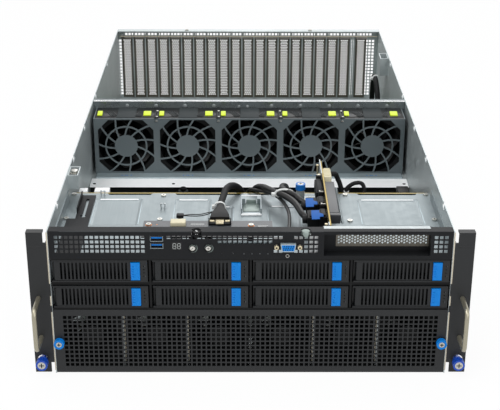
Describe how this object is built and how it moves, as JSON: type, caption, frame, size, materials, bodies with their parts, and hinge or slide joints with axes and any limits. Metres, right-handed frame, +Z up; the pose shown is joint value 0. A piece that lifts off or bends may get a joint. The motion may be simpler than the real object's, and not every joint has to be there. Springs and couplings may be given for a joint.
{
  "type": "rack server",
  "caption": "Open-topped 4U rack server with hot-swap drive trays, fan wall, front port panel, perforated grille and a rear bay for expansion cards.",
  "frame": {"origin": "centre of the underside of the base pan", "axes": "+X to the right seen from the front, the front looks towards -Y, +Z up"},
  "size_m": [0.4826, 0.855, 0.1776],
  "materials": {
    "galvanised_steel": "galvanised sheet, satin",
    "slot_cover_steel": "bronze-grey zinc",
    "green_board": "solder mask",
    "psu_steel": "satin",
    "fan_wall_grey": "slate grey, satin",
    "black_plastic": "moulded, matt",
    "heatsink_aluminium": "machined",
    "deck_steel": "galvanised sheet, satin",
    "olive_board": "bare board edge",
    "black_paint": "charcoal powder coat, matt",
    "black_board": "black solder mask",
    "riser_board": "dark board with gold edge",
    "chrome_bar": "bright nickel",
    "royal_blue_knob": "royal blue with nickel face",
    "cable_black": "braided sleeve",
    "nickel_screw": "nickel",
    "azure_knob": "azure blue with nickel face",
    "button_metal": "satin nickel",
    "rotor_plastic": "moulded, satin",
    "tray_plastic": "moulded, matt",
    "lever_plastic": "moulded, matt",
    "azure_plastic": "azure blue, satin"
  },
  "bodies": {
    "chassis": {"chassis_shell": "galvanised_steel", "rear_panel": "galvanised_steel", "slot_covers": "slot_cover_steel", "gpu_board": "green_board", "power_supplies": "psu_steel", "fan_wall": "fan_wall_grey", "fan_housings": "black_plastic", "mainboard": "green_board", "cpu_heatsinks": "heatsink_aluminium", "drive_cage": "deck_steel", "drive_backplane": "olive_board", "front_panel": "black_paint", "io_board": "black_board", "riser_board": "riser_board", "riser_bracket": "galvanised_steel", "rack_ears": "black_paint", "ear_handles": "chrome_bar", "captive_thumbscrews": "royal_blue_knob", "front_fan_housings": "black_plastic", "cables": "cable_black", "screws": "nickel_screw"},
    "grille": {"grille_panel": "black_paint", "grille_thumbscrews": "azure_knob"},
    "power_button": {"power_button": "button_metal"},
    "id_button": {"id_button": "button_metal"},
    "fan_rotor_1": {"fan_rotor_1": "rotor_plastic"},
    "fan_rotor_2": {"fan_rotor_2": "rotor_plastic"},
    "fan_rotor_3": {"fan_rotor_3": "rotor_plastic"},
    "fan_rotor_4": {"fan_rotor_4": "rotor_plastic"},
    "fan_rotor_5": {"fan_rotor_5": "rotor_plastic"},
    "front_fan_rotor_1": {"front_fan_rotor_1": "rotor_plastic"},
    "front_fan_rotor_2": {"front_fan_rotor_2": "rotor_plastic"},
    "front_fan_rotor_3": {"front_fan_rotor_3": "rotor_plastic"},
    "front_fan_rotor_4": {"front_fan_rotor_4": "rotor_plastic"},
    "front_fan_rotor_5": {"front_fan_rotor_5": "rotor_plastic"},
    "front_fan_rotor_6": {"front_fan_rotor_6": "rotor_plastic"},
    "tray_1": {"drive_tray_1": "tray_plastic"},
    "lever_1": {"tray_lever_1": "lever_plastic"},
    "tab_1": {"release_tab_1": "azure_plastic"},
    "tray_2": {"drive_tray_2": "tray_plastic"},
    "lever_2": {"tray_lever_2": "lever_plastic"},
    "tab_2": {"release_tab_2": "azure_plastic"},
    "tray_3": {"drive_tray_3": "tray_plastic"},
    "lever_3": {"tray_lever_3": "lever_plastic"},
    "tab_3": {"release_tab_3": "azure_plastic"},
    "tray_4": {"drive_tray_4": "tray_plastic"},
    "lever_4": {"tray_lever_4": "lever_plastic"},
    "tab_4": {"release_tab_4": "azure_plastic"},
    "tray_5": {"drive_tray_5": "tray_plastic"},
    "lever_5": {"tray_lever_5": "lever_plastic"},
    "tab_5": {"release_tab_5": "azure_plastic"},
    "tray_6": {"drive_tray_6": "tray_plastic"},
    "lever_6": {"tray_lever_6": "lever_plastic"},
    "tab_6": {"release_tab_6": "azure_plastic"},
    "tray_7": {"drive_tray_7": "tray_plastic"},
    "lever_7": {"tray_lever_7": "lever_plastic"},
    "tab_7": {"release_tab_7": "azure_plastic"},
    "tray_8": {"drive_tray_8": "tray_plastic"},
    "lever_8": {"tray_lever_8": "lever_plastic"},
    "tab_8": {"release_tab_8": "azure_plastic"}
  },
  "joints": [
    {"name": "tray_1_slide", "type": "slide", "parent": "chassis", "child": "tray_1", "axis": [0, -1, 0], "range_m": [0, 0.17]},
    {"name": "lever_1_hinge", "type": "hinge", "parent": "tray_1", "child": "lever_1", "pos_m": [-0.21145, -0.3971, 0.0968], "axis": [0, 0, -1], "range_deg": [0, 60]},
    {"name": "tab_1_press", "type": "slide", "parent": "tray_1", "child": "tab_1", "axis": [0, 1, 0], "range_m": [0, 0.002], "stiffness_N_per_m": 600, "springref_m": -0.002},
    {"name": "tray_2_slide", "type": "slide", "parent": "chassis", "child": "tray_2", "axis": [0, -1, 0], "range_m": [0, 0.17]},
    {"name": "lever_2_hinge", "type": "hinge", "parent": "tray_2", "child": "lever_2", "pos_m": [-0.10215, -0.3971, 0.0968], "axis": [0, 0, -1], "range_deg": [0, 60]},
    {"name": "tab_2_press", "type": "slide", "parent": "tray_2", "child": "tab_2", "axis": [0, 1, 0], "range_m": [0, 0.002], "stiffness_N_per_m": 600, "springref_m": -0.002},
    {"name": "tray_3_slide", "type": "slide", "parent": "chassis", "child": "tray_3", "axis": [0, -1, 0], "range_m": [0, 0.17]},
    {"name": "lever_3_hinge", "type": "hinge", "parent": "tray_3", "child": "lever_3", "pos_m": [0.00715, -0.3971, 0.0968], "axis": [0, 0, -1], "range_deg": [0, 60]},
    {"name": "tab_3_press", "type": "slide", "parent": "tray_3", "child": "tab_3", "axis": [0, 1, 0], "range_m": [0, 0.002], "stiffness_N_per_m": 600, "springref_m": -0.002},
    {"name": "tray_4_slide", "type": "slide", "parent": "chassis", "child": "tray_4", "axis": [0, -1, 0], "range_m": [0, 0.17]},
    {"name": "lever_4_hinge", "type": "hinge", "parent": "tray_4", "child": "lever_4", "pos_m": [0.11645, -0.3971, 0.0968], "axis": [0, 0, -1], "range_deg": [0, 60]},
    {"name": "tab_4_press", "type": "slide", "parent": "tray_4", "child": "tab_4", "axis": [0, 1, 0], "range_m": [0, 0.002], "stiffness_N_per_m": 600, "springref_m": -0.002},
    {"name": "tray_5_slide", "type": "slide", "parent": "chassis", "child": "tray_5", "axis": [0, -1, 0], "range_m": [0, 0.17]},
    {"name": "lever_5_hinge", "type": "hinge", "parent": "tray_5", "child": "lever_5", "pos_m": [-0.21145, -0.3971, 0.1283], "axis": [0, 0, -1], "range_deg": [0, 60]},
    {"name": "tab_5_press", "type": "slide", "parent": "tray_5", "child": "tab_5", "axis": [0, 1, 0], "range_m": [0, 0.002], "stiffness_N_per_m": 600, "springref_m": -0.002},
    {"name": "tray_6_slide", "type": "slide", "parent": "chassis", "child": "tray_6", "axis": [0, -1, 0], "range_m": [0, 0.17]},
    {"name": "lever_6_hinge", "type": "hinge", "parent": "tray_6", "child": "lever_6", "pos_m": [-0.10215, -0.3971, 0.1283], "axis": [0, 0, -1], "range_deg": [0, 60]},
    {"name": "tab_6_press", "type": "slide", "parent": "tray_6", "child": "tab_6", "axis": [0, 1, 0], "range_m": [0, 0.002], "stiffness_N_per_m": 600, "springref_m": -0.002},
    {"name": "tray_7_slide", "type": "slide", "parent": "chassis", "child": "tray_7", "axis": [0, -1, 0], "range_m": [0, 0.17]},
    {"name": "lever_7_hinge", "type": "hinge", "parent": "tray_7", "child": "lever_7", "pos_m": [0.00715, -0.3971, 0.1283], "axis": [0, 0, -1], "range_deg": [0, 60]},
    {"name": "tab_7_press", "type": "slide", "parent": "tray_7", "child": "tab_7", "axis": [0, 1, 0], "range_m": [0, 0.002], "stiffness_N_per_m": 600, "springref_m": -0.002},
    {"name": "tray_8_slide", "type": "slide", "parent": "chassis", "child": "tray_8", "axis": [0, -1, 0], "range_m": [0, 0.17]},
    {"name": "lever_8_hinge", "type": "hinge", "parent": "tray_8", "child": "lever_8", "pos_m": [0.11645, -0.3971, 0.1283], "axis": [0, 0, -1], "range_deg": [0, 60]},
    {"name": "tab_8_press", "type": "slide", "parent": "tray_8", "child": "tab_8", "axis": [0, 1, 0], "range_m": [0, 0.002], "stiffness_N_per_m": 600, "springref_m": -0.002},
    {"name": "fan_1_spin", "type": "hinge", "parent": "chassis", "child": "fan_rotor_1", "pos_m": [-0.1694, -0.0128, 0.1264], "axis": [0, 1, 0], "continuous": true},
    {"name": "fan_2_spin", "type": "hinge", "parent": "chassis", "child": "fan_rotor_2", "pos_m": [-0.0847, -0.0128, 0.1264], "axis": [0, 1, 0], "continuous": true},
    {"name": "fan_3_spin", "type": "hinge", "parent": "chassis", "child": "fan_rotor_3", "pos_m": [0, -0.0128, 0.1264], "axis": [0, 1, 0], "continuous": true},
    {"name": "fan_4_spin", "type": "hinge", "parent": "chassis", "child": "fan_rotor_4", "pos_m": [0.0847, -0.0128, 0.1264], "axis": [0, 1, 0], "continuous": true},
    {"name": "fan_5_spin", "type": "hinge", "parent": "chassis", "child": "fan_rotor_5", "pos_m": [0.1694, -0.0128, 0.1264], "axis": [0, 1, 0], "continuous": true},
    {"name": "front_fan_1_spin", "type": "hinge", "parent": "chassis", "child": "front_fan_rotor_1", "pos_m": [-0.1775, -0.383, 0.0382], "axis": [0, 1, 0], "continuous": true},
    {"name": "front_fan_2_spin", "type": "hinge", "parent": "chassis", "child": "front_fan_rotor_2", "pos_m": [-0.1065, -0.383, 0.0382], "axis": [0, 1, 0], "continuous": true},
    {"name": "front_fan_3_spin", "type": "hinge", "parent": "chassis", "child": "front_fan_rotor_3", "pos_m": [-0.0355, -0.383, 0.0382], "axis": [0, 1, 0], "continuous": true},
    {"name": "front_fan_4_spin", "type": "hinge", "parent": "chassis", "child": "front_fan_rotor_4", "pos_m": [0.0355, -0.383, 0.0382], "axis": [0, 1, 0], "continuous": true},
    {"name": "front_fan_5_spin", "type": "hinge", "parent": "chassis", "child": "front_fan_rotor_5", "pos_m": [0.1065, -0.383, 0.0382], "axis": [0, 1, 0], "continuous": true},
    {"name": "front_fan_6_spin", "type": "hinge", "parent": "chassis", "child": "front_fan_rotor_6", "pos_m": [0.1775, -0.383, 0.0382], "axis": [0, 1, 0], "continuous": true},
    {"name": "grille_pull", "type": "slide", "parent": "chassis", "child": "grille", "axis": [0, -1, 0], "range_m": [0, 0.1]},
    {"name": "power_button_press", "type": "slide", "parent": "chassis", "child": "power_button", "axis": [0, 1, 0], "range_m": [0, 0.0008], "stiffness_N_per_m": 500, "springref_m": -0.001},
    {"name": "id_button_press", "type": "slide", "parent": "chassis", "child": "id_button", "axis": [0, 1, 0], "range_m": [0, 0.0008], "stiffness_N_per_m": 500, "springref_m": -0.001}
  ]
}
